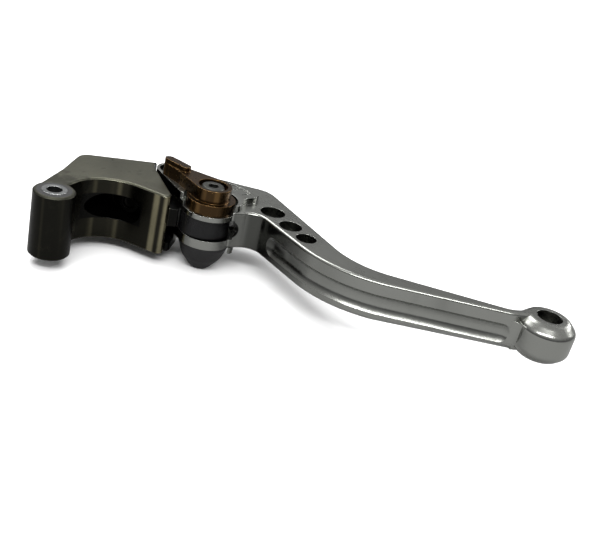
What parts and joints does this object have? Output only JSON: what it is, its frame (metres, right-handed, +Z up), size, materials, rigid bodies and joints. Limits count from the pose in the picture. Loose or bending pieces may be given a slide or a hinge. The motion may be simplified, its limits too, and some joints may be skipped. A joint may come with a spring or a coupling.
{
  "type": "motorcycle brake lever",
  "caption": "Right-hand motorcycle brake lever with a folding-forward blade, a numbered reach dial on a cam, lightening holes and a pivot adapter.",
  "frame": {"origin": "on the pivot bore's axis, at the blade's middle plane", "axes": "+Z up along the pivot bore, +X along the blade towards its tip, +Y forward, away from the rider"},
  "size_m": [0.2199, 0.0907, 0.0402],
  "materials": {
    "pivot_steel": "ground steel",
    "adapter_alloy": "olive champagne satin",
    "bearing_bronze": "machined bronze",
    "seal_rubber": "matt",
    "spring_steel": "drawn wire",
    "blade_alloy": "satin machined",
    "bolt_steel": "zinc plated",
    "black_anodised": "satin black",
    "dial_anodised": "bronze gold anodised",
    "cam_black": "black oxide",
    "ball_steel": "polished",
    "copper_washer": "copper"
  },
  "bodies": {
    "pivot": {"pivot_sleeve": "pivot_steel"},
    "adapter": {"perch_adapter": "adapter_alloy", "pivot_liner": "bearing_bronze", "pivot_seals": "seal_rubber", "pushrod_cup": "pivot_steel"},
    "hinge_core": {"hinge_bush": "pivot_steel", "hinge_shims": "bearing_bronze", "return_spring": "spring_steel"},
    "blade": {"lever_blade": "blade_alloy", "hinge_bolt": "bolt_steel", "hinge_nut": "bolt_steel", "adjuster_bolt": "bolt_steel", "cap_nut": "black_anodised", "thrust_washer": "bearing_bronze", "index_spring": "spring_steel"},
    "dial": {"adjuster_dial": "dial_anodised", "reach_cam": "cam_black", "drive_pins": "pivot_steel", "detent_ball": "ball_steel", "detent_spring": "spring_steel", "dial_washer": "copper_washer"}
  },
  "joints": [
    {"name": "lever_pull", "type": "hinge", "parent": "pivot", "child": "adapter", "pos_m": [0, 0, 0], "axis": [0, 0, -1], "range_deg": [0, 16]},
    {"name": "reach_shift", "type": "hinge", "parent": "adapter", "child": "hinge_core", "pos_m": [0.019, 0.06, 0], "axis": [0, 0, 1], "range_deg": [-6, 0]},
    {"name": "swing_forward", "type": "hinge", "parent": "hinge_core", "child": "blade", "pos_m": [0.019, 0.06, 0], "axis": [0, 0, 1], "range_deg": [0, 8], "stiffness_Nm_per_rad": 1.2, "springref_deg": -14.32},
    {"name": "dial_turn", "type": "hinge", "parent": "blade", "child": "dial", "pos_m": [0.0455, 0.046, 0], "axis": [0, 0, 1], "range_deg": [-100, 0]}
  ],
  "couplings": [
    {"joint": "reach_shift", "follows": "dial_turn", "ratio": 0.06}
  ]
}
